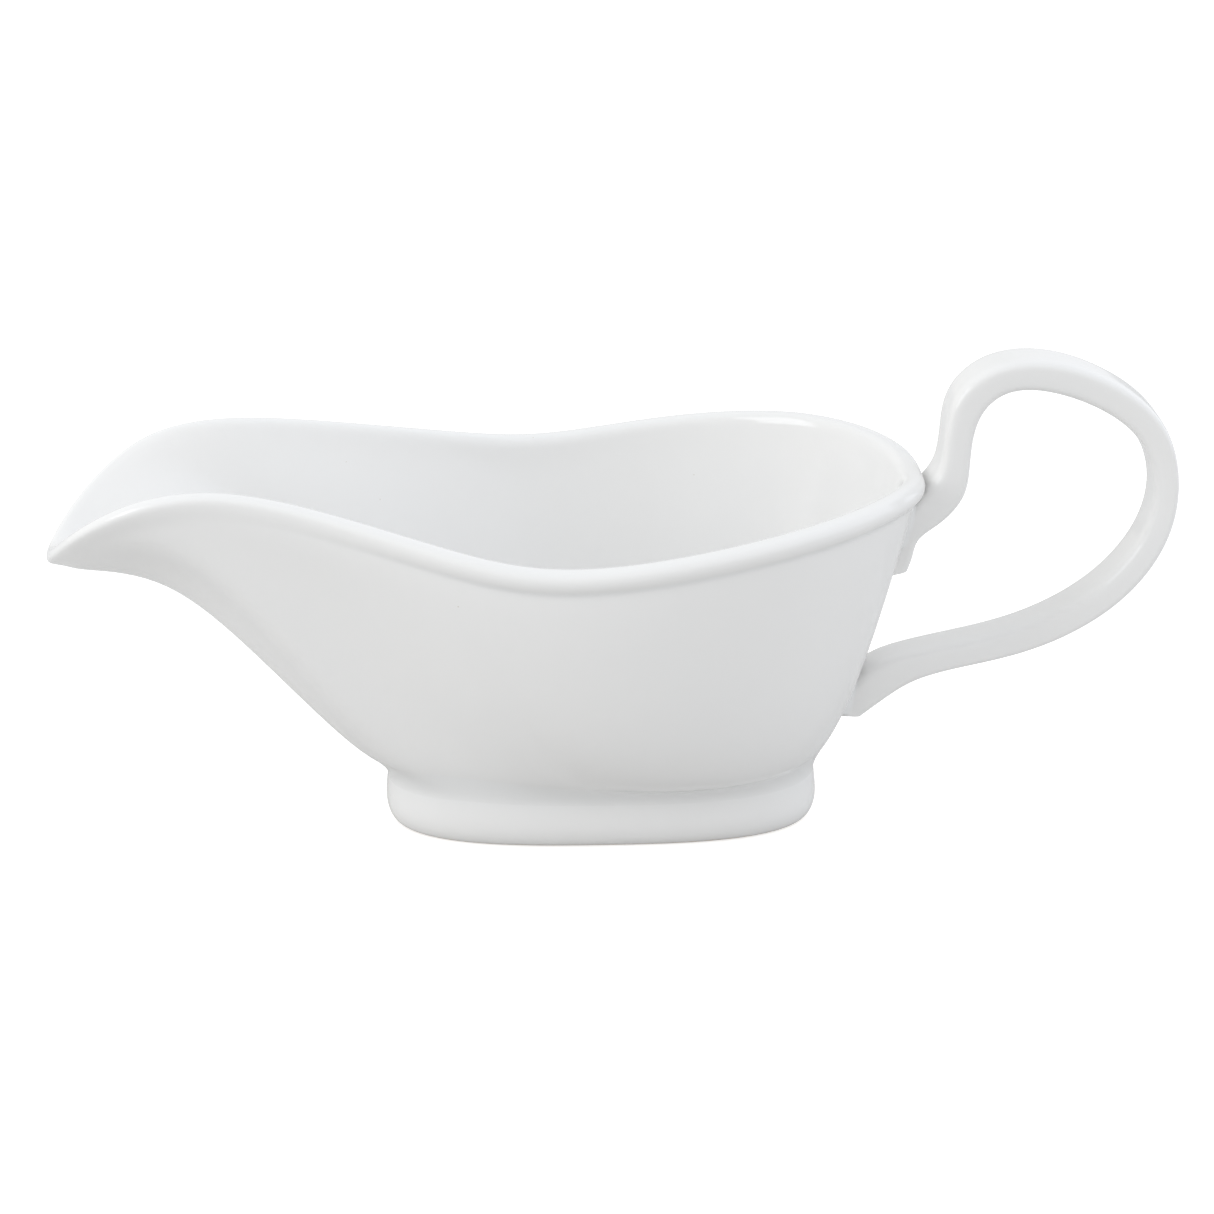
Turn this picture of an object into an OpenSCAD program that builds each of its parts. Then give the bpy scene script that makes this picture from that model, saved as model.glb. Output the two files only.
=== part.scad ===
// Gravy boat in white glazed porcelain: a cast boat-shaped bowl with a broad pouring
// spout, an oval foot ring and a strap handle, joined with slip before firing.
// Millimetres. +X runs from the spout to the handle, +Z is up, and y = 0 is the plane
// of symmetry. The origin is on the table, under the middle of the whole piece.

/* [Bowl] */
// Length of the rim from the spout tip to the back
bowl_length = 170; // [140:1:200]
// Width of the rim across its widest part
bowl_width = 98; // [80:1:115]
// Height of the rim at the spout's shoulders
bowl_height = 76; // [66:1:86]
// Thickness of the cast wall
wall = 3.6; // [3:0.1:4.4]
// How far the rim bead stands out from the wall
bead = 1.6; // [0.6:0.1:2.2]

/* [Foot] */
// Length of the foot ring
foot_length = 87; // [80:0.2:90]
// Width of the foot ring
foot_width = 47.6; // [44:0.2:52]
// How far the middle of the foot lies behind the middle of the piece
foot_shift = -2.5; // [-6:0.1:2]
// Squareness of the oval, 2 being an ellipse
foot_square = 2.8; // [2.2:0.1:3]

/* [Handle] */
// Width of the strap on its outer face
strap_outer = 13; // [10:0.2:15]
// Width of the strap on its inner face
strap_inner = 11.6; // [9:0.2:14]
// Squareness of the strap's section, 2 being an ellipse
strap_square = 5; // [3:0.1:6]

/* [Joints] */
// Width of the slip bead round each end of the handle
slip_bead = 1; // [0.6:0.1:1.4]

/* [Smoothness] */
// Columns round the bowl
columns = 80; // [60:20:100]
// Sections along the handle
handle_sections = 72; // [54:18:90]
// Points round the handle's section
handle_points = 20; // [16:4:28]

/* [Hidden] */
porcelain = "white";
slip = "ghostwhite";

// Stations of the rim's centre line from the spout tip to the back: [along, half width,
// height]. The curve runs close by them, and the other half is its mirror image.
RIM = [[-111.9, 0, 53.9], [-110, 11, 58.8], [-97, 26, 71.7], [-78, 24.7, 76], [-53, 32, 71.7],
    [-31, 40.8, 66.8], [-13, 45.2, 63.8], [12, 48.7, 67.7], [41, 39.6, 71.9],
    [58.3, 15.5, 71.8], [58.7, 0, 69.7]];
// The size for which the stations are drawn
RIM_SIZE = [170, 98, 76];
rim_spans = len(RIM) - 1;

// Places round the rim at which the wall's shape is set: tip, nose, shoulder, side, back
PLACES = [0, 1.2, 3, 6, 10];
// Lean of the rim from upright at those places, in degrees
LEAN = [92, 54, 15, 4, 13];
// Share of the bead's full size there: the spout's lip is plain
BEAD_SHARE = [0, 0, 0.08, 1, 1];
// Three rings of the wall: how far out from the seat of the foot to the rim, and how high
WALL_OUT = [[0.10, 0.10, 0.13, 0.24, 0.13], [0.41, 0.41, 0.47, 0.63, 0.47],
    [0.65, 0.67, 0.80, 0.90, 0.78]];
WALL_UP = [[0.07, 0.062, 0.037, 0.03, 0.055], [0.58, 0.54, 0.40, 0.23, 0.285],
    [0.92, 0.885, 0.742, 0.586, 0.616]];
// The lip's section: [share of the wall, share of the bead, height from the rim]
LIP = [[0.5, 0, -6.6], [0.5, -0.22, -4.4], [0.5, 0.55, -3.1], [0.5, 1, -1.3], [0.42, 0.6, 0.7],
    [-0.42, 0.19, 0.6], [-0.5, 0, -1.7], [-0.5, 0, -5.6]];
// Height of the bowl's underside, and the sizes of the two rings that round its bottom
seat_z = 11.2;
SEAT_RINGS = [0.5, 0.95];
seat_inset = 0.6;
wall_rings = 1 + len(SEAT_RINGS) + len(WALL_OUT);
// Rings drawn for each step of the wall's section
RING_STEPS = [1, 2, 4, 2, 2, 2, 2, 2, 3, 3, 2, 2, 1, 2, 2, 2, 2, 2, 1];
// The step at the top of the lip, and the height of the middle of the filled form
lip_place = 10;
form_top = 70;

// The foot ring's section, from its inside down and round the base to the waist: [outward
// from the foot's oval, height]
foot_neck = -0.6;
FOOT = [[-7.6, 16], [-7.4, 3], [-7, 0.7], [-6.4, 0], [-5.9, 0], [-3, 0], [-2.4, 0],
    [-1.5, 0.2], [-0.5, 1.5], [0.1, 4], [-0.3, 7.4], [foot_neck, 11], [foot_neck, 16]];
FOOT_STEPS = [1, 1, 1, 1, 1, 1, 1, 2, 2, 2, 2, 1];
// The slip that fills the corner between foot and bowl: its reach along each of them at the
// places round the rim, the depth to which its edges bite, the points across, its hidden core
FOOT_SLIP = [4, 3.8, 3.4, 3, 3.8];
foot_slip_bite = 0.35;
foot_slip_points = 6;
foot_slip_core = 1.5;

// The handle's two edges in the plane of symmetry, from the upper tongue round the loop
// to the lower pad: [along, height]
OUTER = [[53, 49.3], [54.5, 55], [56.8, 61], [60, 66.6], [64.4, 70.7], [65, 77.5], [65.5, 86],
    [72.7, 93], [84.3, 94.6], [97.3, 90.3], [109, 82], [113, 68], [110.3, 53.6], [99.8, 41],
    [84, 33], [69, 30.2], [60, 27.8], [54.3, 23.5], [50, 20.3]];
INNER = [[58.6, 50.3], [59.7, 53.5], [60, 57.5], [65, 60], [70.3, 66], [70.2, 74], [71.3, 82.5],
    [76.8, 87.7], [85.3, 87.4], [95.5, 83.8], [104.5, 77.5], [108, 67], [105.2, 56],
    [95.7, 45.2], [81.7, 38], [68, 35], [57.5, 32.8], [49.5, 30], [44, 20.5]];
// Share of the strap's width along the handle: the upper tongue is narrower
STRAP_SHARE = [0.74, 0.84, 1, 1, 1, 1, 1, 1, 1, 1, 1, 1, 1, 1, 1, 1, 1, 1, 0.94];
handle_spans = len(OUTER) - 1;
// Stretches of the handle that the slip beads follow, as shares of its length
UPPER_END = [0, 0.26];
LOWER_END = [0.8, 1];

function flip(p) = [p.x, -p.y, p.z];
function smooth(f) = f * f * (3 - 2 * f);
function blend(a, b, f) = a + (b - a) * f;
function power(v, e) = sign(v) * pow(abs(v), e);
function unit(v) = v / norm(v);

// Weights of four neighbouring stations on a cubic B-spline
function weights(f) = [pow(1 - f, 3), 3 * f * f * f - 6 * f * f + 4,
    -3 * f * f * f + 3 * f * f + 3 * f + 1, f * f * f] / 6;
// Point of an open B-spline that starts and ends on its end stations
function spline(s, at) = let (n = len(s) - 1, k = min(floor(at), n - 1), w = weights(at - k),
    before = k == 0 ? 2 * s[0] - s[1] : s[k - 1],
    after = k + 2 > n ? 2 * s[n] - s[n - 1] : s[k + 2])
    w[0] * before + w[1] * s[k] + w[2] * s[k + 1] + w[3] * after;
// Places along a B-spline, counts[k] of them in its step k, and its end
function places(counts) = [for (k = [0:len(counts) - 1], i = [0:counts[k] - 1]) k + i / counts[k],
    len(counts)];
// Value at one place round the rim, eased between the places where it is set
function set_at(values, t) = let (i = max([for (k = [0:len(PLACES) - 2]) t >= PLACES[k] ? k : 0]))
    blend(values[i], values[i + 1], smooth((t - PLACES[i]) / (PLACES[i + 1] - PLACES[i])));
// Point of an oval with half axes a and b, n being its squareness
function oval(a, b, n, angle) = [a * power(cos(angle), 2 / n), b * power(sin(angle), 2 / n)];
function rim_angle(t) = 180 * (1 - t / rim_spans);

// The rim's centre line
function rim_station(i) = let (p = RIM[i < 0 ? -i : i > rim_spans ? 2 * rim_spans - i : i],
    q = [p.x * bowl_length / RIM_SIZE.x, p.y * bowl_width / RIM_SIZE.y, p.z * bowl_height / RIM_SIZE.z])
    i < 0 || i > rim_spans ? flip(q) : q;
function rim(t) = let (k = floor(t), w = weights(t - k))
    w[0] * rim_station(k - 1) + w[1] * rim_station(k) + w[2] * rim_station(k + 1)
    + w[3] * rim_station(k + 2);
function rim_outward(t) = let (e = 0.01, d = rim(min(t + e, rim_spans)) - rim(max(t - e, 0)))
    t < e ? [-1, 0, 0] : t > rim_spans - e ? [1, 0, 0] : unit([-d.y, d.x, 0]);

// The foot's oval, and the seat on the bowl's underside that it carries
function foot_point(out, z, angle) = let (p = oval(foot_length / 2 + out, foot_width / 2 + out,
    foot_square, angle)) [foot_shift + p.x, p.y, z];
function seat_point(share, angle) = let (p = oval((foot_length / 2 - seat_inset) * share,
    (foot_width / 2 - seat_inset) * share, foot_square, angle)) [foot_shift + p.x, p.y, seat_z];

// Stations of the bowl's section at place t, from the underside out and up over the lip
function section(t) = let (angle = rim_angle(t), seat = seat_point(1, angle), r = rim(t),
    n = rim_outward(t), lean = set_at(LEAN, t), up = [0, 0, 1],
    along = up * cos(lean) + n * sin(lean), side = n * cos(lean) - up * sin(lean),
    share = bead * set_at(BEAD_SHARE, t))
    [[foot_shift, 0, seat_z], for (s = SEAT_RINGS) seat_point(s, angle),
     for (k = [0:len(WALL_OUT) - 1]) let (o = set_at(WALL_OUT[k], t), h = set_at(WALL_UP[k], t))
        [blend(seat.x, r.x, o), blend(seat.y, r.y, o), blend(seat_z, r.z, h)],
     for (l = LIP) r + side * (l[0] * wall + l[1] * share) + along * l[2]];
half = [for (j = [0:columns / 2]) section(rim_spans * j / (columns / 2))];
outside = [for (j = [0:columns - 1]) j <= columns / 2 ? half[j]
    : [for (p = half[columns - j]) flip(p)]];
function outward(j, k) = let (round = outside[(j + 1) % columns][k]
    - outside[(j + columns - 1) % columns][k], rise = outside[j][k + 1] - outside[j][k - 1])
    unit(cross(rise, round));
// The whole section, over the lip and down the inside to the floor
shell = [for (j = [0:columns - 1]) concat(outside[j],
    [for (k = [wall_rings - 1:-1:1]) outside[j][k] - wall * outward(j, k)],
    [[foot_shift, 0, seat_z + wall]])];

// Rings of the bowl's skin, the end points aside, and the last of them that faces outward
ring_places = [for (at = places(RING_STEPS)) if (at > 0 && at < len(RING_STEPS)) at];
bowl_rings = [for (at = ring_places) [for (s = shell) spline(s, at)]];
lip_ring = len([for (at = ring_places) if (at <= lip_place) at]) - 1;
function ring_outward(i, j) = let (n = columns, r = bowl_rings)
    unit(cross(r[i + 1][j] - r[i - 1][j], r[i][(j + 1) % n] - r[i][(j + n - 1) % n]));
// The bowl's outer form, grown by g, from which everything joined to it is cut away
function form_rings(g) = [for (i = [0:lip_ring]) [for (j = [0:columns - 1])
    bowl_rings[i][j] + (g == 0 ? [0, 0, 0] : i == 0 ? [0, 0, -g] : g * ring_outward(i, j))]];

// Section of the handle at place s, grown by g, pushed on by g where it is an end
function handle_section(s, g) = let (o = spline(OUTER, s), i = spline(INNER, s),
    across = unit(o - i), share = spline(STRAP_SHARE, s),
    push = g * (s == 0 ? unit(OUTER[0] - OUTER[1]) : s == handle_spans
        ? unit(OUTER[handle_spans] - OUTER[handle_spans - 1]) : [0, 0]))
    [for (k = [0:handle_points - 1])
        let (p = oval(0.5, 1, strap_square, 360 * k / handle_points), f = 0.5 - p.x,
            q = blend(o + g * across, i - g * across, f) + push)
        [q.x, p.y * (share * blend(strap_outer, strap_inner, f) / 2 + g), q.y]];
function handle_rings(first, last, g) = let (n = ceil((last - first) * handle_sections))
    [for (i = [0:n]) handle_section(handle_spans * blend(first, last, i / n), g)];

// Point where the wall in column j passes over the foot's oval grown by g, found by halving
function past_foot(p, g) = pow(abs(p.x - foot_shift) / (foot_length / 2 + g), foot_square)
    + pow(abs(p.y) / (foot_width / 2 + g), foot_square) > 1;
function over_foot(j, g, low = 1, high = 4, n = 16) = let (mid = (low + high) / 2,
    p = spline(shell[j], mid))
    n == 0 ? p : past_foot(p, g) ? over_foot(j, g, low, mid, n - 1) : over_foot(j, g, mid, high, n - 1);
// Section of the foot slip in column j: up from the foot to the wall, and its hidden core
function foot_slip_section(j) = let (
    reach = set_at(FOOT_SLIP, rim_spans * min(j, columns - j) / (columns / 2)),
    corner = over_foot(j, foot_neck), low = over_foot(j, foot_neck - foot_slip_bite),
    leave = [low.x, low.y, corner.z - reach],
    rise = unit(over_foot(j, foot_neck + 0.5) - corner),
    meet = over_foot(j, foot_neck + reach * norm([rise.x, rise.y])) + [0, 0, foot_slip_bite])
    [for (i = [0:foot_slip_points]) let (f = i / foot_slip_points, g = 1 - f)
        g * g * leave + 2 * f * g * corner + f * f * meet,
     over_foot(j, foot_neck - foot_slip_core)];

// Triangles between m rings of n points, the last ring joined to the first if closed
function side_faces(m, n, closed) = [for (i = [0:m - (closed ? 1 : 2)], j = [0:n - 1])
    let (a = i * n + j, b = i * n + (j + 1) % n, up = (i + 1) % m * n - i * n)
    each [[a, b, a + up], [b, b + up, a + up]]];

// Closed skin whose ends are points
module domed_skin(first, rings, last) {
    n = len(rings[0]);
    m = len(rings);
    polyhedron(points = [for (r = rings) each r, first, last], faces = [
        for (f = side_faces(m, n, false)) f,
        for (j = [0:n - 1]) each [[m * n, (j + 1) % n, j],
            [m * n + 1, (m - 1) * n + j, (m - 1) * n + (j + 1) % n]]]);
}

// Closed skin whose ends are flat
module capped_skin(rings) {
    n = len(rings[0]);
    m = len(rings);
    polyhedron(points = [for (r = rings) each r], faces = [
        for (f = side_faces(m, n, false)) f,
        [for (j = [n - 1:-1:0]) j], [for (j = [0:n - 1]) (m - 1) * n + j]]);
}

// Closed skin round a hole, the last ring joined to the first
module ring_skin(rings)
    polyhedron(points = [for (r = rings) each r], faces = side_faces(len(rings), len(rings[0]), true));

// The bowl's outer form as one solid block
module bowl_form(g = 0)
    domed_skin([foot_shift, 0, seat_z - g], form_rings(g), [foot_shift, 0, form_top]);

module foot_blank()
    ring_skin([for (at = places(FOOT_STEPS)) let (p = spline(FOOT, at))
        [for (j = [0:columns - 1]) foot_point(p.x, p.y, 180 - 360 * j / columns)]]);

module handle_blank(first = 0, last = 1, g = 0)
    capped_skin(handle_rings(first, last, g));

// Everything joined to the bowl is trimmed to fit against it as one closed skin
module trimmed() {
    resize([0, 0, 0])
        difference() {
            children();
            bowl_form();
        }
}

// Cast bowl: underside, wall, rolled lip, spout and inside in one even shell
module bowl()
    color(porcelain)
        domed_skin([foot_shift, 0, seat_z], bowl_rings, [foot_shift, 0, seat_z + wall]);

// Hollow oval foot with a flat ring to stand on
module foot_ring()
    color(porcelain)
        trimmed() foot_blank();

// Strap handle with a tongue at its upper end and a flared pad at its lower end
module handle()
    color(porcelain)
        trimmed() handle_blank();

// Slip that fills the waist between foot and bowl
module foot_slip()
    color(slip)
        trimmed()
            difference() {
                ring_skin(let (s = [for (j = [0:columns - 1]) foot_slip_section(j)])
                    [for (k = [0:foot_slip_points + 1]) [for (p = s) p[k]]]);
                foot_blank();
            }

// Bead of slip squeezed out along the joint of one end of the handle
module handle_slip(stretch)
    color(slip)
        trimmed()
            difference() {
                intersection() {
                    handle_blank(stretch[0], stretch[1], slip_bead);
                    bowl_form(slip_bead);
                }
                handle_blank();
            }

module upper_handle_slip()
    handle_slip(UPPER_END);

module lower_handle_slip()
    handle_slip(LOWER_END);

bowl();
foot_ring();
handle();
foot_slip();
upper_handle_slip();
lower_handle_slip();
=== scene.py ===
# %% [markdown]
# # A gravy boat in white glazed porcelain
# The boat is made of a cast bowl with a pouring spout, an oval foot ring and a strap
# handle. They are joined with slip, which is clay thinned to a cream, and the slip dries
# as a soft hollow seam along each joint. One coat of glaze then covers everything but the
# edge that the boat stands on. The CAD model comes in first as a fixed frame. Each of its
# pieces is made again here with a far finer skin, because gloss shows every flat facet.

# %% Load the frame
import math
import bpy
import numpy as np
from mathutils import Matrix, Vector
from mathutils.bvhtree import BVHTree


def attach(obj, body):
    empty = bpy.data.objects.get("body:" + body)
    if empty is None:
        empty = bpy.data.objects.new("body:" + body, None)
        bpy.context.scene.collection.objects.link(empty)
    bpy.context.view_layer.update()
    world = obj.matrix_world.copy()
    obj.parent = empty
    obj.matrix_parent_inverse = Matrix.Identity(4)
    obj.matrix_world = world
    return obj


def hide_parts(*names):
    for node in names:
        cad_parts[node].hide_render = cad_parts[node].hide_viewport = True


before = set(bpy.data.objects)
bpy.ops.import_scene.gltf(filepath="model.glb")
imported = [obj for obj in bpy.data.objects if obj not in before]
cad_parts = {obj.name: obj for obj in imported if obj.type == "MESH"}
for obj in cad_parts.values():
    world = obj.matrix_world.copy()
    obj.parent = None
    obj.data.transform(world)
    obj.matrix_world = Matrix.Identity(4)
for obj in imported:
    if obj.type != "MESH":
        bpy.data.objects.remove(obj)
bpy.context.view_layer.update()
MM = 0.001

# %% [markdown]
# ## Smooth curves through a few stations
# A model maker cuts a plaster model to a handful of profile gauges and lets the knife
# smooth the shape between them. A cubic B-spline does the same: it takes few stations and
# passes close by them with no corner and no sudden change of curvature. A subdivision
# surface would smooth as well, but it gives no formula that finds the same place on the
# skin twice, and the seams need that later.

# %% B-spline helpers
def station_weights(f):
    """Weights of four neighbouring stations, f being the share of the way past the second."""
    return np.array([(1 - f) ** 3, 3 * f**3 - 6 * f**2 + 4, -3 * f**3 + 3 * f**2 + 3 * f + 1, f**3]) / 6


def along(stations, places, before=None, after=None):
    """Points at these places on the B-spline of some stations, which starts and ends on its end
    stations unless it is told what comes before and after them."""
    s = np.asarray(stations, float)
    before = 2 * s[0] - s[1] if before is None else before
    after = 2 * s[-1] - s[-2] if after is None else after
    s = np.concatenate([[before], s, [after]])
    places = np.atleast_1d(np.asarray(places, float))
    k = np.minimum(np.floor(places).astype(int), len(s) - 4)
    w = station_weights(places - k)
    w = w.reshape(w.shape + (1,) * (s.ndim - 1))
    return sum(w[i] * s[k + i] for i in range(4))


def unit(v):
    return v / np.linalg.norm(v, axis=-1, keepdims=True)


def oval(a, b, squareness, angle):
    """Points of an oval with half axes a and b. Squareness 2 is an ellipse, and more is boxier."""
    c, s = np.cos(angle), np.sin(angle)
    e = 2 / squareness
    return np.stack([a * np.sign(c) * np.abs(c) ** e, b * np.sign(s) * np.abs(s) ** e], -1)


print("a spline of 3 stations, halfway:", along([[0, 0], [1, 2], [2, 0]], 1)[0])

# %% [markdown]
# ## The rim's line
# Seen from above, the rim is a boat: narrow at the spout, widest past the middle and round
# at the back. Seen from the side it dips in the middle, to keep the boat low where it is
# widest, and rises over the spout's shoulders before it falls to the pouring tip. Only one
# half is written down, as stations of how far along, how far out and how high, in
# millimetres. The other half is its mirror image, so that the boat stays true.

# %% Rim stations
RIM = np.array([[-111.9, 0, 53.9], [-110, 11, 58.8], [-97, 26, 71.7], [-78, 24.7, 76], [-53, 32, 71.7],
                [-31, 40.8, 66.8], [-13, 45.2, 63.8], [12, 48.7, 67.7], [41, 39.6, 71.9],
                [58.3, 15.5, 71.8], [58.7, 0, 69.7]])
LAST = len(RIM) - 1
MIRROR = np.array([1, -1, 1])


def rim_line(t):
    return along(RIM, t, before=RIM[1] * MIRROR, after=RIM[-2] * MIRROR)


def rim_outward(t):
    """Level direction out of the boat, square to the rim's line."""
    d = rim_line(np.minimum(t + 0.01, LAST)) - rim_line(np.maximum(t - 0.01, 0))
    n = unit(np.stack([-d[:, 1], d[:, 0], 0 * d[:, 0]], -1))
    n[t < 0.01] = [-1, 0, 0]
    n[t > LAST - 0.01] = [1, 0, 0]
    return n


print("rim from", rim_line(0)[0].round(1), "to", rim_line(LAST)[0].round(1))

# %% [markdown]
# ## The wall's section
# The bowl is poured as slip into a plaster mould, which drinks the water and leaves an even
# skin of clay. So the outside is drawn first, and the inside follows it one wall further
# in. The section is set at five places round the rim and eased between them: the tip, the
# nose and the shoulder of the spout, the side and the back. At the side the wall goes up
# almost straight to a rolled bead. At the spout it leans out into a thin plain lip.

# %% Wall settings
WALL = 3.6
BEAD = 1.6
SHIFT = -2.5
SEAT_Z = 11.2
PLACES = np.array([0, 1.2, 3, 6, 10])
LEAN = np.array([92, 54, 15, 4, 13])
BEAD_SHARE = np.array([0, 0, 0.08, 1, 1])
WALL_OUT = np.array([[0.10, 0.10, 0.13, 0.24, 0.13], [0.41, 0.41, 0.47, 0.63, 0.47],
                     [0.65, 0.67, 0.80, 0.90, 0.78]])
WALL_UP = np.array([[0.07, 0.062, 0.037, 0.03, 0.055], [0.58, 0.54, 0.40, 0.23, 0.285],
                    [0.92, 0.885, 0.742, 0.586, 0.616]])
LIP = np.array([[0.5, 0, -6.6], [0.5, -0.22, -4.4], [0.5, 0.55, -3.1], [0.5, 1, -1.3], [0.42, 0.6, 0.7],
                [-0.42, 0.19, 0.6], [-0.5, 0, -1.7], [-0.5, 0, -5.6]])
SEAT_RINGS = [0.5, 0.95]
FOOT_HALF = np.array([43.5, 23.8])
FOOT_SQUARE = 2.8
SEAT_HALF = FOOT_HALF - 0.6


def eased(values, t):
    """Value at place t, eased between the places where it is set."""
    i = np.clip(np.searchsorted(PLACES, t, side="right") - 1, 0, len(PLACES) - 2)
    f = (t - PLACES[i]) / (PLACES[i + 1] - PLACES[i])
    return values[i] + (values[i + 1] - values[i]) * f * f * (3 - 2 * f)


def wall_section(t):
    """Stations of the outside, from the middle of the underside up over the lip, at each place."""
    angle = math.pi * (1 - t / LAST)
    rim, out = rim_line(t), rim_outward(t)
    lean = np.radians(eased(LEAN, t))[:, None]
    up = np.array([[0, 0, 1.0]])
    rise, side = up * np.cos(lean) + out * np.sin(lean), out * np.cos(lean) - up * np.sin(lean)
    level = np.full(len(t), float(SEAT_Z))
    seats = [np.column_stack([[SHIFT, 0] + oval(*(SEAT_HALF * s), FOOT_SQUARE, angle), level])
             for s in [*SEAT_RINGS, 1]]
    seat, stations = seats.pop(), [np.column_stack([0 * t + SHIFT, 0 * t, level]), *seats]
    for outs, ups in zip(WALL_OUT, WALL_UP):
        f = np.column_stack([eased(outs, t), eased(outs, t), eased(ups, t)])
        stations.append(seat + (rim - seat) * f)
    bead = BEAD * eased(BEAD_SHARE, t)
    for across, swell, height in LIP:
        stations.append(rim + side * (across * WALL + swell * bead)[:, None] + rise * height)
    return np.stack(stations, 1)


# %% Wall columns
COLUMNS = 320
half = wall_section(np.linspace(0, LAST, COLUMNS // 2 + 1))
outside = np.concatenate([half, half[-2:0:-1] * MIRROR])
around = np.roll(outside, -1, 0) - np.roll(outside, 1, 0)
wall_rings = 1 + len(SEAT_RINGS) + len(WALL_OUT)
rise = outside[:, 2:wall_rings + 1] - outside[:, 0:wall_rings - 1]
face_out = unit(np.cross(rise, around[:, 1:wall_rings]))
inside = outside[:, 1:wall_rings] - WALL * face_out
floor_middle = np.tile([[[SHIFT, 0, SEAT_Z + WALL]]], (COLUMNS, 1, 1))
shell = np.concatenate([outside, inside[:, ::-1], floor_middle], 1).swapaxes(0, 1)
print("the wall has", shell.shape[0], "stations in each of", shell.shape[1], "columns")

# %% [markdown]
# ## A skin from rings
# Every piece here is a row of rings with the same number of points, so one helper can lay
# the faces for all of them. The ends are closed with a point, with a cap, or by joining the
# last ring to the first. Numpy lays out the faces in one go, which is much quicker than
# adding them one by one. The skin also stores how thickly glaze has pooled at each point,
# for the material to use.

# %% Skin helper
def skin(name, rings, ends="point", first=None, last=None, pooled=None):
    m, n = rings.shape[:2]
    i, j = np.mgrid[0:m if ends == "joined" else m - 1, 0:n]
    nxt, up = (j + 1) % n, ((i + 1) % m) * n
    quads = np.stack([i * n + j, up + j, up + nxt, i * n + nxt], -1).reshape(-1, 4)
    faces, points = quads.tolist(), rings.reshape(-1, 3)
    if ends == "point":
        points = np.concatenate([points, [first, last]])
        faces += [[m * n, k, (k + 1) % n] for k in range(n)]
        faces += [[m * n + 1, (m - 1) * n + (k + 1) % n, (m - 1) * n + k] for k in range(n)]
    if ends == "cap":
        faces += [list(range(n)), [(m - 1) * n + k for k in range(n - 1, -1, -1)]]
    mesh = bpy.data.meshes.new(name)
    mesh.from_pydata((points * MM).tolist(), [], faces)
    layer = mesh.attributes.new("pooled_glaze", "FLOAT", "POINT")
    values = np.zeros(len(points))
    if pooled is not None:
        values[:m * n] = np.broadcast_to(pooled, (m, n)).ravel()
    layer.data.foreach_set("value", values.astype(np.float32))
    mesh.shade_smooth()
    if ends == "joined":
        mesh.set_sharp_from_angle(angle=math.radians(50))
    mesh.update()
    piece = bpy.data.objects.new(name, mesh)
    bpy.context.scene.collection.objects.link(piece)
    return piece


def facing_out(piece):
    """Turns the skin's faces over where they look inward."""
    mesh = piece.data
    co = np.array([v.co for v in mesh.vertices])
    mesh.calc_loop_triangles()
    tri = co[np.array([t.vertices for t in mesh.loop_triangles])]
    if np.einsum("ij,ij->i", tri[:, 0], np.cross(tri[:, 1], tri[:, 2])).sum() < 0:
        mesh.flip_normals()
    return piece


# %% [markdown]
# ## The bowl
# Rings are drawn closer together round the lip, the bead and the groove under it, where the
# surface turns quickly, and further apart on the calm wall. Glaze runs thin on the crest
# of the lip and gathers in the groove under the bead, in the hollow of the floor and in the
# corner over the foot. A low hump of value along the section says so.

# %% Bowl
STEP_RINGS = [3, 5, 8, 8, 8, 8, 10, 12, 12, 12, 12, 10, 6, 6, 8, 8, 8, 6, 3]
LIP_PLACE = 10
GROOVE_PLACE = 7.3


def hump(places, middle, reach):
    return np.exp(-(((places - middle) / reach) ** 2))


def bowl_places():
    return np.concatenate([k + np.arange(n) / n for k, n in enumerate(STEP_RINGS)])[1:]


places = bowl_places()
bowl_rings = along(shell, places)
bead_round = eased(BEAD_SHARE, np.linspace(0, LAST, COLUMNS // 2 + 1))
bead_round = np.concatenate([bead_round, bead_round[-2:0:-1]])
bowl_pool = 0.7 * hump(places, GROOVE_PLACE, 0.45)[:, None] * bead_round[None, :]
bowl_pool += 0.5 * hump(places, 2.6, 0.5)[:, None] + 0.6 * hump(places, len(STEP_RINGS), 2.2)[:, None]
bowl = facing_out(skin("bowl_cast", bowl_rings, "point", [SHIFT, 0, SEAT_Z],
                       [SHIFT, 0, SEAT_Z + WALL], bowl_pool))
print("bowl:", len(bowl.data.vertices), "points")

# %% [markdown]
# ## The foot ring
# The foot is a hollow oval wall, almost straight outside but a little fuller low down, with
# a flat edge to stand on. It is cast and trimmed before firing. It is one section carried
# round the oval, so it needs only a list of offsets and heights. The section runs up past
# the bowl's underside, and the part inside the bowl is cut away later.

# %% Foot ring blank
FOOT_NECK = -0.6
FOOT = np.array([[-7.6, 16], [-7.4, 3], [-7, 0.7], [-6.4, 0], [-5.9, 0], [-3, 0], [-2.4, 0],
                 [-1.5, 0.2], [-0.5, 1.5], [0.1, 4], [-0.3, 7.4], [FOOT_NECK, 11], [FOOT_NECK, 16]])
round_angle = math.pi - 2 * math.pi * np.arange(COLUMNS) / COLUMNS


def foot_ring_at(out, z):
    half_axes = FOOT_HALF + out
    return np.column_stack([[SHIFT, 0] + oval(*half_axes, FOOT_SQUARE, round_angle), np.full(COLUMNS, z)])


foot_places = np.linspace(0, len(FOOT) - 1, 12 * (len(FOOT) - 1) + 1)
foot_rings = np.stack([foot_ring_at(*p) for p in along(FOOT, foot_places)])
foot_pool = np.broadcast_to(0.7 * hump(foot_places, 11, 0.8)[:, None], foot_rings.shape[:2])
foot = facing_out(skin("foot_ring_cast", foot_rings, "joined", pooled=foot_pool))
print("foot ring:", len(foot.data.vertices), "points")

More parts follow.
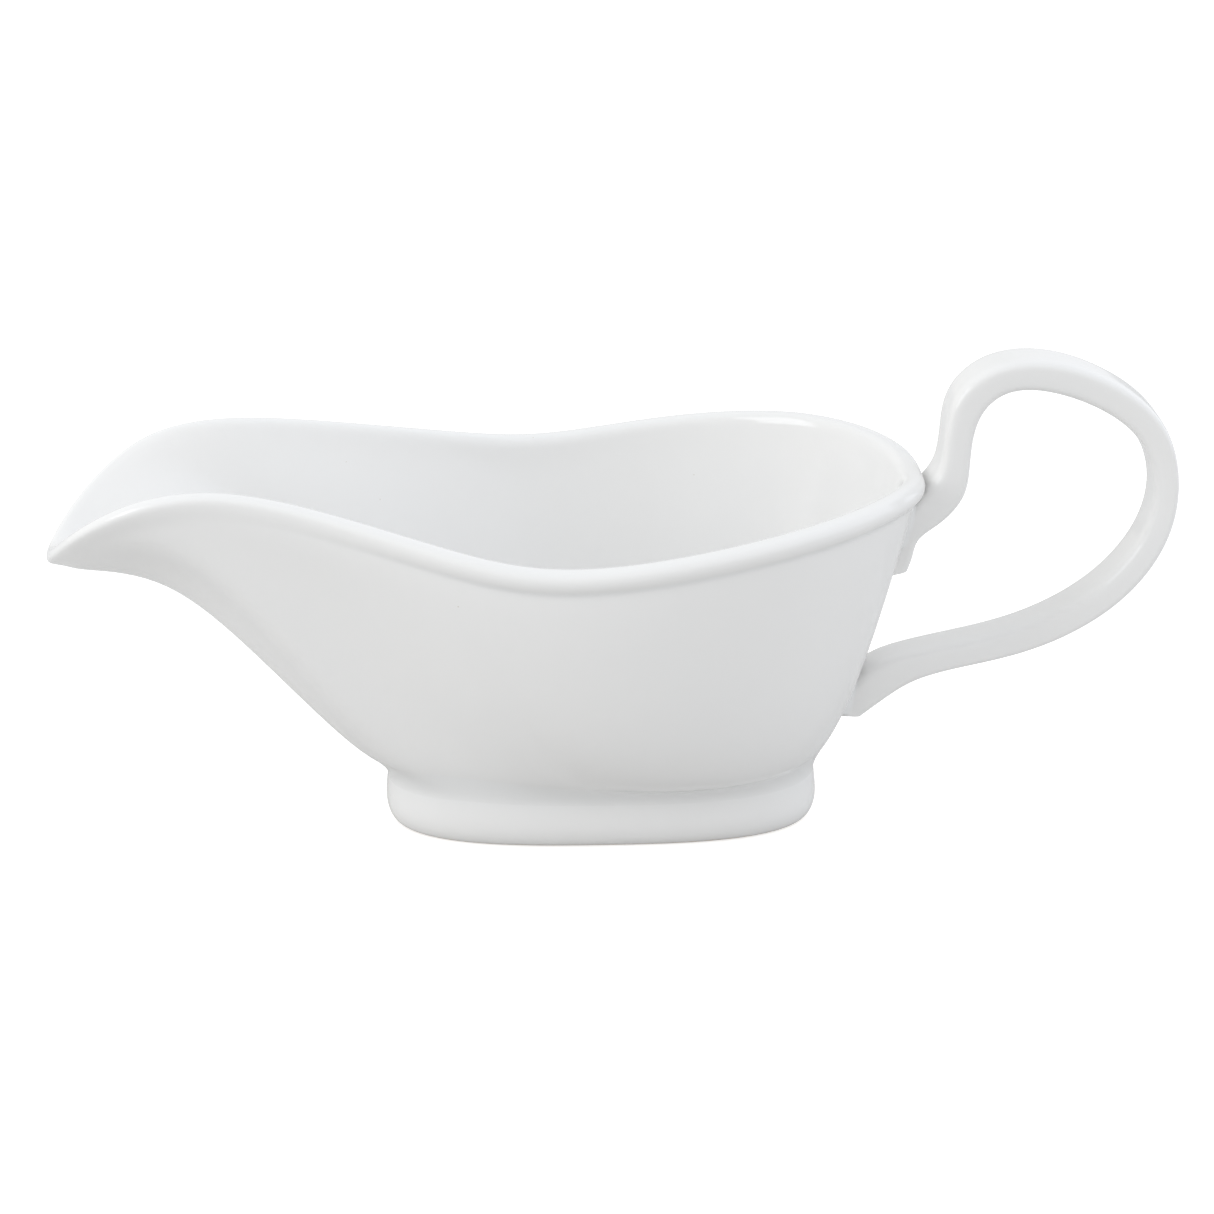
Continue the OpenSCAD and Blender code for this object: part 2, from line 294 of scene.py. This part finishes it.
# %% [markdown]
# ## The strap handle
# The handle is a flat strap with soft edges. Its upper end is a narrower tongue that lies
# up the wall and tucks in under the bead, its lower end thickens to a pad. Two edge lines in
# the plane of symmetry say where its outer and inner faces run, and a rounded box is drawn
# across them at each place. The outer face is a little wider than the inner one, because
# the mould has to let go of it.

# %% Handle blank
OUTER = np.array([[53, 49.3], [54.5, 55], [56.8, 61], [60, 66.6], [64.4, 70.7], [65, 77.5], [65.5, 86],
                  [72.7, 93], [84.3, 94.6], [97.3, 90.3], [109, 82], [113, 68], [110.3, 53.6],
                  [99.8, 41], [84, 33], [69, 30.2], [60, 27.8], [54.3, 23.5], [50, 20.3]])
INNER = np.array([[58.6, 50.3], [59.7, 53.5], [60, 57.5], [65, 60], [70.3, 66], [70.2, 74],
                  [71.3, 82.5], [76.8, 87.7], [85.3, 87.4], [95.5, 83.8], [104.5, 77.5], [108, 67],
                  [105.2, 56], [95.7, 45.2], [81.7, 38], [68, 35], [57.5, 32.8], [49.5, 30], [44, 20.5]])
STRAP_SHARE = np.array([0.74, 0.84] + [1] * 16 + [0.94])
STRAP_OUTER, STRAP_INNER, STRAP_SQUARE = 13, 11.6, 5
STRAP_POINTS = 72
strap_angle = 2 * math.pi * np.arange(STRAP_POINTS) / STRAP_POINTS


def strap_rings(s):
    """Rings of the strap at these places along it."""
    o, i, share = along(OUTER, s), along(INNER, s), along(STRAP_SHARE, s)
    p = oval(0.5, 1, STRAP_SQUARE, strap_angle)
    f = 0.5 - p[:, 0]
    flat = o[:, None] + (i - o)[:, None] * f[None, :, None]
    width = share[:, None] * (STRAP_OUTER + (STRAP_INNER - STRAP_OUTER) * f)[None] / 2
    return np.stack([flat[..., 0], p[None, :, 1] * width, flat[..., 1]], -1)


STRAP_LAST = len(OUTER) - 1
strap_places = np.linspace(0, STRAP_LAST, 20 * STRAP_LAST + 1)
handle = facing_out(skin("handle_strap", strap_rings(strap_places), "cap"))
print("handle:", len(handle.data.vertices), "points")

# %% [markdown]
# ## Fitting the pieces to the bowl
# The potter cuts the ends of the handle and the top of the foot to sit against the bowl.
# A Boolean does that cut: the bowl's outer form is filled in as one solid block, and it is
# taken away from each piece. Cutting against the hollow bowl would leave scraps of clay
# inside it.

# %% Trim
lip_ring = int(np.searchsorted(places, LIP_PLACE))
block = facing_out(skin("bowl_block", bowl_rings[:lip_ring + 1], "point", [SHIFT, 0, SEAT_Z],
                        [SHIFT, 0, 70]))


def settle(piece):
    """Replaces the piece's mesh with the result of its modifiers."""
    graph = bpy.context.evaluated_depsgraph_get()
    mesh = bpy.data.meshes.new_from_object(piece.evaluated_get(graph), depsgraph=graph)
    piece.modifiers.clear()
    piece.data = mesh


def trim(piece, cutter):
    cut = piece.modifiers.new("trim", "BOOLEAN")
    cut.operation, cut.object, cut.solver = "DIFFERENCE", cutter, "EXACT"
    settle(piece)
    piece.data.shade_smooth()
    piece.data.set_sharp_from_angle(angle=math.radians(35))
    return len(piece.data.vertices)


block_tree = BVHTree.FromObject(block, bpy.context.evaluated_depsgraph_get())
handle_tree = BVHTree.FromObject(handle, bpy.context.evaluated_depsgraph_get())
print("foot ring trimmed to", trim(foot, block), "points, handle to", trim(handle, block))

# %% [markdown]
# ## The slip under the bowl
# Slip brushed into the corner between bowl and foot dries as a hollow curve. The corner is
# where the wall in each column passes over the foot's oval. One edge of the seam lies below
# it on the foot, the other further out on the wall. A Bezier curve joins them: one handle
# points at the corner and the other along the wall, so that the seam sets off along both
# surfaces. It is a little fuller at the two narrow ends of the oval.

# %% Foot slip
FOOT_SLIP = np.array([4, 3.8, 3.4, 3, 3.8])
SLIP_BITE, SLIP_PULL, SLIP_CORE, SLIP_POINTS = 0.03, 0.62, 1.5, 14
wall_walk = along(shell, np.linspace(1, 4, 900))


def over_foot(grow):
    """Where the wall in each column passes over the foot's oval, grown by this much."""
    half_axes = FOOT_HALF + np.reshape(grow, (-1, 1))
    past = ((np.abs(wall_walk[..., :2] - [SHIFT, 0]) / half_axes) ** FOOT_SQUARE).sum(-1) - 1
    i, column = np.argmax(past > 0, axis=0), np.arange(COLUMNS)
    before, after = past[i - 1, column], past[i, column]
    f = (before / (before - after))[:, None]
    return wall_walk[i - 1, column] * (1 - f) + wall_walk[i, column] * f


size = eased(FOOT_SLIP, np.linspace(0, LAST, COLUMNS // 2 + 1))
size = np.concatenate([size, size[-2:0:-1]])
corner = over_foot(FOOT_NECK)
flatness = np.linalg.norm(unit(over_foot(FOOT_NECK + 0.5) - corner)[:, :2], axis=1)
meet_grow = FOOT_NECK + size * flatness
meet = over_foot(meet_grow) + [0, 0, SLIP_BITE]
up_wall = unit(over_foot(meet_grow + 0.1) + [0, 0, SLIP_BITE] - meet)
neck = along(FOOT, np.linspace(9, 12, 90))
neck_out = np.interp(corner[:, 2] - size, neck[:, 1], neck[:, 0])
leave = np.column_stack([over_foot(neck_out - SLIP_BITE)[:, :2], corner[:, 2] - size])
from_foot = leave + SLIP_PULL * (corner - leave)
to_wall = meet - SLIP_PULL * size[:, None] * up_wall
f = np.linspace(0, 1, SLIP_POINTS)[:, None, None]
g = 1 - f
slip_rings = g**3 * leave + 3 * f * g * g * from_foot + 3 * f * f * g * to_wall + f**3 * meet
slip_rings = np.concatenate([slip_rings, [over_foot(FOOT_NECK - SLIP_CORE)]])
slip_pool = np.concatenate([np.sin(np.linspace(0, math.pi, SLIP_POINTS)) * 0.6 + 0.4, [0]])
foot_slip = facing_out(skin("foot_seam", slip_rings, "joined", pooled=slip_pool[:, None]))
print("foot seam:", len(foot_slip.data.vertices), "points")

# %% [markdown]
# ## The slip round the handle's ends
# The joint between strap and wall is a closed line in space. It is found by walking along
# the strap towards the bowl, at each point round its section, until the walk goes in. From
# each point of that line, one direction runs up the wall and one along the strap. The
# seam's edges lie a little way along each, and a hollow curve joins them. The upper seam
# is wider where it fills the notch under the bead.

# %% Joint line
def depth_in_bowl(p):
    """How far a point is outside the bowl's block, below zero when it is inside."""
    at, normal, _, _ = block_tree.find_nearest(Vector(p) * MM)
    return (Vector(p) * MM - at).dot(normal) / MM


def joint_line(free, end, steps=260):
    """Points where the strap's skin goes into the bowl, walking from a free place to an end."""
    walk = strap_rings(np.linspace(free, end, steps))
    line = []
    for k in range(STRAP_POINTS):
        previous = depth_in_bowl(walk[0, k])
        for i in range(1, steps):
            d = depth_in_bowl(walk[i, k])
            if d < 0:
                f = previous / (previous - d)
                line.append(walk[i - 1, k] + (walk[i, k] - walk[i - 1, k]) * f)
                break
            previous = d
    return np.array(line)


def spaced(line, count):
    """The same closed line with evenly spaced points, smoothed a little."""
    loop = np.concatenate([line, line[:1]])
    run = np.concatenate([[0], np.cumsum(np.linalg.norm(np.diff(loop, axis=0), axis=1))])
    at = np.arange(count) / count * run[-1]
    line = np.column_stack([np.interp(at, run, loop[:, i]) for i in range(3)])
    for _ in range(2):
        line = (np.roll(line, 1, 0) + 2 * line + np.roll(line, -1, 0)) / 4
    return line


upper_line = spaced(joint_line(4.6, 0), 240)
lower_line = spaced(joint_line(14.2, STRAP_LAST), 240)
print("upper joint from", upper_line.min(0).round(1), "to", upper_line.max(0).round(1))
print("lower joint from", lower_line.min(0).round(1), "to", lower_line.max(0).round(1))

# %% Handle seams
UPPER_REACH, NOTCH_REACH, NOTCH_FROM, NOTCH_TO, LOWER_REACH = 1.4, 1.2, 59, 65, 2.3
SEAM_FILL, SEAM_CORE = 0.28, 0.25


def on_skin(tree, p):
    at, normal, _, _ = tree.find_nearest(Vector(p) * MM)
    return np.array(at) / MM, np.array(normal)


def round_mean(v, times=3):
    for _ in range(times):
        v = (np.roll(v, 1, 0) + 2 * v + np.roll(v, -1, 0)) / 4
    return v


def handle_seam(name, line, reach, points=9):
    run = unit(np.roll(line, -1, 0) - np.roll(line, 1, 0))
    wall_out = unit(round_mean(np.array([on_skin(block_tree, p)[1] for p in line])))
    strap_out = unit(round_mean(np.array([on_skin(handle_tree, p)[1] for p in line])))
    up_wall, up_strap = unit(np.cross(wall_out, run)), unit(np.cross(strap_out, run))
    up_wall *= np.sign((up_wall * strap_out).sum(1, keepdims=True))
    up_strap *= np.sign((up_strap * wall_out).sum(1, keepdims=True))
    edges = []
    for tree, way in ((block_tree, up_wall), (handle_tree, up_strap)):
        hits = [on_skin(tree, p) for p in line + reach[:, None] * way]
        edges.append(round_mean(np.array([at - SLIP_BITE * normal for at, normal in hits]), 2))
    f = np.linspace(0, 1, points)[:, None, None]
    hollow = line + SEAM_FILL * reach[:, None] * unit(wall_out + strap_out)
    curve = (1 - f) ** 2 * edges[0] + 2 * f * (1 - f) * hollow + f * f * edges[1]
    core = line - SEAM_CORE * (wall_out + strap_out)
    pool = np.concatenate([np.sin(np.linspace(0, math.pi, points)) * 0.7 + 0.3, [0]])
    return facing_out(skin(name, np.concatenate([curve, [core]]), "joined", pooled=pool[:, None]))


in_notch = np.clip((upper_line[:, 2] - NOTCH_FROM) / (NOTCH_TO - NOTCH_FROM), 0, 1)
upper_seam = handle_seam("upper_handle_seam", upper_line, UPPER_REACH + NOTCH_REACH * in_notch)
lower_seam = handle_seam("lower_handle_seam", lower_line, np.full(len(lower_line), LOWER_REACH))
bpy.data.objects.remove(block)
print("seams:", len(upper_seam.data.vertices), "and", len(lower_seam.data.vertices), "points")

# %% [markdown]
# ## Shared glaze effects
# Glaze is a skin of glass. It is never quite level: it keeps a fine ripple like orange peel
# and longer waves from the brush and the dip. Its white drifts a little, warmer where it is
# thin and cooler where it has pooled. Each effect is a node group with named inputs, built
# once and then set for each piece, so that the thick bowl and the small strap can differ.

# %% Node group helpers
def group(name, inputs, outputs):
    g = bpy.data.node_groups.new(name, "ShaderNodeTree")
    for title, kind, value in inputs:
        sock = g.interface.new_socket(title, in_out="INPUT", socket_type=kind)
        if value is not None:
            sock.default_value = value
    for title, kind in outputs:
        g.interface.new_socket(title, in_out="OUTPUT", socket_type=kind)
    return g, g.nodes.new("NodeGroupInput").outputs, g.nodes.new("NodeGroupOutput").inputs


def noise(tree, coordinates, scale, detail=2.0, rough=0.5):
    """A noise of features about 1/scale metres across."""
    n = tree.nodes.new("ShaderNodeTexNoise")
    n.inputs["Detail"].default_value, n.inputs["Roughness"].default_value = detail, rough
    tree.links.new(coordinates, n.inputs["Vector"])
    if isinstance(scale, float):
        n.inputs["Scale"].default_value = scale
    else:
        tree.links.new(scale, n.inputs["Scale"])
    return n.outputs["Fac"]


def sum_of(tree, operation, *values):
    """A Math node fed with sockets or numbers."""
    m = tree.nodes.new("ShaderNodeMath")
    m.operation = operation
    for sock, value in zip(m.inputs, values):
        if isinstance(value, (int, float)):
            sock.default_value = value
        else:
            tree.links.new(value, sock)
    return m.outputs[0]


def mixed(tree, factor, a, b, kind="RGBA"):
    """A Mix node between two colours or two numbers, given as sockets or values."""
    m = tree.nodes.new("ShaderNodeMix")
    m.data_type = kind
    tree.links.new(factor, m.inputs["Factor"])
    first = 6 if kind == "RGBA" else 2
    for sock, value in ((m.inputs[first], a), (m.inputs[first + 1], b)):
        if isinstance(value, (float, tuple)):
            sock.default_value = value
        else:
            tree.links.new(value, sock)
    return m.outputs[2 if kind == "RGBA" else 0]


# %% Glaze ripple
ripple, rin, rout = group(
    "glaze ripple",
    [("Place", "NodeSocketVector", None), ("Peel scale", "NodeSocketFloat", 420.0),
     ("Peel depth", "NodeSocketFloat", 0.3), ("Wave scale", "NodeSocketFloat", 60.0),
     ("Wave depth", "NodeSocketFloat", 1.0)],
    [("Height", "NodeSocketFloat")])
peel = sum_of(ripple, "MULTIPLY", noise(ripple, rin["Place"], rin["Peel scale"]), rin["Peel depth"])
waves = sum_of(ripple, "MULTIPLY", noise(ripple, rin["Place"], rin["Wave scale"], 1.0), rin["Wave depth"])
ripple.links.new(sum_of(ripple, "ADD", peel, waves), rout["Height"])
print("group:", ripple.name)

# %% Glaze drift
drift, din, dout = group(
    "glaze drift",
    [("Place", "NodeSocketVector", None), ("Pooled", "NodeSocketFloat", 0.0),
     ("Scale", "NodeSocketFloat", 35.0), ("Amount", "NodeSocketFloat", 0.5),
     ("Thin white", "NodeSocketColor", (0.8, 0.79, 0.77, 1)),
     ("Thick white", "NodeSocketColor", (0.77, 0.79, 0.79, 1)),
     ("Pool tint", "NodeSocketColor", (0.62, 0.66, 0.66, 1))],
    [("Color", "NodeSocketColor"), ("Mask", "NodeSocketFloat")])
cloud = noise(drift, din["Place"], din["Scale"], 3.0)
grain = noise(drift, din["Place"], 900.0, 2.0)
mask = sum_of(drift, "MULTIPLY_ADD", sum_of(drift, "SUBTRACT", cloud, 0.5), din["Amount"], 0.5)
mask = sum_of(drift, "MULTIPLY_ADD", sum_of(drift, "SUBTRACT", grain, 0.5), 0.35, mask)
white = mixed(drift, mask, din["Thin white"], din["Thick white"])
white = mixed(drift, din["Pooled"], white, din["Pool tint"])
drift.links.new(white, dout["Color"])
drift.links.new(mask, dout["Mask"])
print("group:", drift.name)

# %% Kiln specks
specks, speck_in, speck_out = group(
    "kiln specks",
    [("Place", "NodeSocketVector", None), ("Spacing", "NodeSocketFloat", 260.0),
     ("Size", "NodeSocketFloat", 0.05), ("Rarity", "NodeSocketFloat", 0.72)],
    [("Mask", "NodeSocketFloat")])
cells = specks.nodes.new("ShaderNodeTexVoronoi")
specks.links.new(speck_in["Place"], cells.inputs["Vector"])
specks.links.new(speck_in["Spacing"], cells.inputs["Scale"])
dots = sum_of(specks, "LESS_THAN", cells.outputs["Distance"], speck_in["Size"])
some = sum_of(specks, "GREATER_THAN", noise(specks, speck_in["Place"], 190.0, 0.0), speck_in["Rarity"])
specks.links.new(sum_of(specks, "MULTIPLY", dots, some), speck_out["Mask"])
print("group:", specks.name)

# %% [markdown]
# ## The glazed porcelain
# Under the glass lies a dense white body, so one Principled shader is enough: its diffuse
# part is the body and its clear reflection is the glaze. The ripple goes in as a bump too
# fine to model, and the roughness wanders a little, as it does on anything that has been
# wiped and stacked. The foot's edge is wiped clean before firing, so there the body shows
# bare: duller, warmer and slightly gritty.

# %% Glaze material
def place_group(tree, g, values, place):
    n = tree.nodes.new("ShaderNodeGroup")
    n.node_tree = g
    tree.links.new(place, n.inputs["Place"])
    for title, value in values.items():
        n.inputs[title].default_value = value
    return n


def glazed(name, peel, wave, tint, bare_edge=False):
    """A glaze material: ripple settings, colour settings, and a bare edge at the base if asked."""
    mat = bpy.data.materials.new(name)
    mat.use_nodes = True
    t = mat.node_tree
    shader = t.nodes["Principled BSDF"]
    place = t.nodes.new("ShaderNodeTexCoord").outputs["Object"]
    pooled = t.nodes.new("ShaderNodeAttribute")
    pooled.attribute_name = "pooled_glaze"
    height = place_group(t, ripple, {"Peel scale": peel[0], "Peel depth": peel[1],
                                     "Wave scale": wave[0], "Wave depth": wave[1]}, place)
    colour = place_group(t, drift, tint, place)
    t.links.new(pooled.outputs["Fac"], colour.inputs["Pooled"])
    dots = place_group(t, specks, {}, place)
    base = mixed(t, dots.outputs["Mask"], colour.outputs["Color"], (0.66, 0.63, 0.58, 1))
    rough = mixed(t, colour.outputs["Mask"], 0.05, 0.13, "FLOAT")
    if bare_edge:
        z = t.nodes.new("ShaderNodeSeparateXYZ")
        t.links.new(place, z.inputs[0])
        line = sum_of(t, "MULTIPLY_ADD", noise(t, place, 500.0, 3.0), 0.0005, 0.0002)
        bare = sum_of(t, "LESS_THAN", z.outputs["Z"], line)
        base = mixed(t, bare, base, (0.74, 0.68, 0.6, 1))
        rough = mixed(t, bare, rough, 0.75, "FLOAT")
    bump = t.nodes.new("ShaderNodeBump")
    bump.inputs["Distance"].default_value = 0.0001
    bump.inputs["Strength"].default_value = 0.35
    t.links.new(height.outputs["Height"], bump.inputs["Height"])
    for value, title in ((base, "Base Color"), (rough, "Roughness"), (bump.outputs[0], "Normal")):
        t.links.new(value, shader.inputs[title])
    shader.inputs["IOR"].default_value = 1.5
    return mat


WHITES = {"Thin white": (0.82, 0.812, 0.797, 1), "Thick white": (0.806, 0.804, 0.797, 1),
          "Pool tint": (0.79, 0.792, 0.787, 1)}
bowl_glaze = glazed("bowl glaze", (420.0, 0.25), (55.0, 1.2), {**WHITES, "Scale": 30.0, "Amount": 0.9})
foot_glaze = glazed("foot glaze", (420.0, 0.3), (80.0, 0.9), {**WHITES, "Scale": 45.0, "Amount": 0.9}, True)
strap_glaze = glazed("strap glaze", (480.0, 0.25), (110.0, 0.7), {**WHITES, "Scale": 60.0, "Amount": 0.9})
seam_glaze = glazed("seam glaze", (500.0, 0.3), (160.0, 0.8), {**WHITES, "Scale": 80.0, "Amount": 0.9})
print("materials:", [m.name for m in bpy.data.materials])

# %% Glaze the pieces, hang them from the root and hide the CAD parts they replace
for piece, node, slot, glaze in (
        (bowl, "bowl", "glazed_porcelain", bowl_glaze),
        (foot, "foot_ring", "glazed_porcelain", foot_glaze),
        (handle, "handle", "glazed_porcelain", strap_glaze),
        (foot_slip, "foot_slip", "glazed_slip", seam_glaze),
        (upper_seam, "upper_handle_slip", "glazed_slip", seam_glaze),
        (lower_seam, "lower_handle_slip", "glazed_slip", seam_glaze)):
    piece.data.materials.clear()
    piece.data.materials.append(glaze)
    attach(piece, "root")
    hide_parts(node)
    print(piece.name, "stands for", node)

# %% [markdown]
# ## The studio
# White china is drawn by its surroundings. In a white tent everything is bright, and form
# shows only where the surface turns towards the darker camera side or down to the table.
# So the sky is even and slightly warm, with more light from both ends, above all from the
# handle's, and cooler light from above that is held back straight overhead. One large soft
# box hangs beyond the spout. The table is a plain pale sheet that throws light up under the
# bowl. It also glows, strongly for the camera and only faintly for the boat, so that it
# looks as pale as the tent.

# %% Table
def sheet(name, half_size, z):
    mesh = bpy.data.meshes.new(name)
    n = 24
    line = np.linspace(-half_size, half_size, n + 1)
    grid = [(x, y, z) for y in line for x in line]
    faces = [[j * (n + 1) + i, j * (n + 1) + i + 1, (j + 1) * (n + 1) + i + 1, (j + 1) * (n + 1) + i]
             for j in range(n) for i in range(n)]
    mesh.from_pydata(grid, [], faces)
    obj = bpy.data.objects.new(name, mesh)
    bpy.context.scene.collection.objects.link(obj)
    return obj


TABLE_HALF, CAMERA_GLOW, FAINT_GLOW = 6.0, 0.6, 0.04
table = sheet("table", TABLE_HALF, 0.0)
paper = bpy.data.materials.new("pale table")
paper.use_nodes = True
nodes, links = paper.node_tree.nodes, paper.node_tree.links
shader = nodes["Principled BSDF"]
fibre = noise(paper.node_tree, nodes.new("ShaderNodeTexCoord").outputs["Object"], 40.0, 4.0)
tone = mixed(paper.node_tree, fibre, (0.61, 0.604, 0.594, 1), (0.63, 0.624, 0.614, 1))
links.new(tone, shader.inputs["Base Color"])
shader.inputs["Roughness"].default_value = 0.9
shader.inputs["Specular IOR Level"].default_value = 0.1
shader.inputs["Emission Color"].default_value = (1, 0.995, 0.985, 1)
seen = nodes.new("ShaderNodeLightPath").outputs["Is Camera Ray"]
glow = sum_of(paper.node_tree, "MULTIPLY_ADD", seen, CAMERA_GLOW, FAINT_GLOW)
links.new(glow, shader.inputs["Emission Strength"])
table.data.materials.append(paper)
print("table:", len(table.data.polygons), "faces")

# %% Sky
world = bpy.data.worlds.new("light tent")
bpy.context.scene.world = world
world.use_nodes = True
wt = world.node_tree
way = wt.nodes.new("ShaderNodeSeparateXYZ")
wt.links.new(wt.nodes.new("ShaderNodeTexCoord").outputs["Generated"], way.inputs[0])


def added(total, colour, strength, facing):
    """Adds light of one colour, as strong as the sky faces that way."""
    scale, plus = wt.nodes.new("ShaderNodeVectorMath"), wt.nodes.new("ShaderNodeVectorMath")
    scale.operation, plus.operation = "SCALE", "ADD"
    scale.inputs[0].default_value = [c * strength for c in colour]
    wt.links.new(facing, scale.inputs["Scale"])
    wt.links.new(scale.outputs[0], plus.inputs[0])
    if isinstance(total, tuple):
        plus.inputs[1].default_value = total
    else:
        wt.links.new(total, plus.inputs[1])
    return plus.outputs[0]


# The even sky, then each side of it that adds light or takes it away: the axis it lies on
# and which way, its strength, its colour, and how closely it keeps to that axis
EVEN_SKY = (0.595, 0.586, 0.568)
SKY_SIDES = [("Z", 1.0, 0.34, (0.89, 0.98, 1.1), 1.0), ("Z", 1.0, -0.3, (1, 1, 1), 4.0),
             ("X", -1.0, 0.37, (0.98, 0.98, 0.98), 1.0), ("X", 1.0, 0.84, (0.9, 0.95, 1.05), 1.0),
             ("Y", 1.0, 0.14, (1, 1, 1), 1.0), ("Y", -1.0, 0.1, (1, 1, 1), 1.0)]
light = EVEN_SKY
for axis, sign, strength, colour, power in SKY_SIDES:
    facing = sum_of(wt, "MAXIMUM", sum_of(wt, "MULTIPLY", way.outputs[axis], sign), 0.0)
    light = added(light, colour, strength, sum_of(wt, "POWER", facing, power))
sky = wt.nodes["Background"]
wt.links.new(light, sky.inputs["Color"])
sky.inputs["Strength"].default_value = 1.0
print("the sky has", len(SKY_SIDES), "sides besides its even light")

# %% Soft boxes
def soft_box(name, place, target, size, power, colour):
    data = bpy.data.lights.new(name, "AREA")
    data.shape, data.size, data.size_y = "RECTANGLE", size[0], size[1]
    data.energy, data.color = power, colour
    lamp = bpy.data.objects.new(name, data)
    lamp.location = place
    lamp.rotation_euler = (Vector(target) - Vector(place)).to_track_quat("-Z", "Y").to_euler()
    bpy.context.scene.collection.objects.link(lamp)
    return lamp


soft_box("side soft box", (-0.9, -0.35, 0.55), (0, 0, 0.05), (0.6, 0.6), 3.2, (0.95, 0.97, 1.0))

# %% [markdown]
# ## The camera
# A long lens from a little above keeps the rim's ellipse shallow and the sides free of
# perspective. It is placed by its angle above the table, its turn round the boat and its
# distance, which is easier to adjust than three coordinates.

# %% Camera
ELEVATION, TURN, DISTANCE, LENS = 19.0, -2.5, 0.7, 103.79
TARGET = Vector((-0.0012, 0, 0.0424))
camera = bpy.data.objects.new("camera", bpy.data.cameras.new("camera"))
camera.data.lens, camera.data.sensor_width = LENS, 36.0
e, a = math.radians(ELEVATION), math.radians(TURN)
back = Vector((math.sin(a) * math.cos(e), -math.cos(a) * math.cos(e), math.sin(e)))
camera.location = TARGET + DISTANCE * back
camera.rotation_euler = (-back).to_track_quat("-Z", "Y").to_euler()
camera.data.clip_start = 0.01
bpy.context.scene.collection.objects.link(camera)
bpy.context.scene.camera = camera
bpy.context.scene.view_settings.view_transform = "Standard"
print("camera at", [round(v, 3) for v in camera.location])
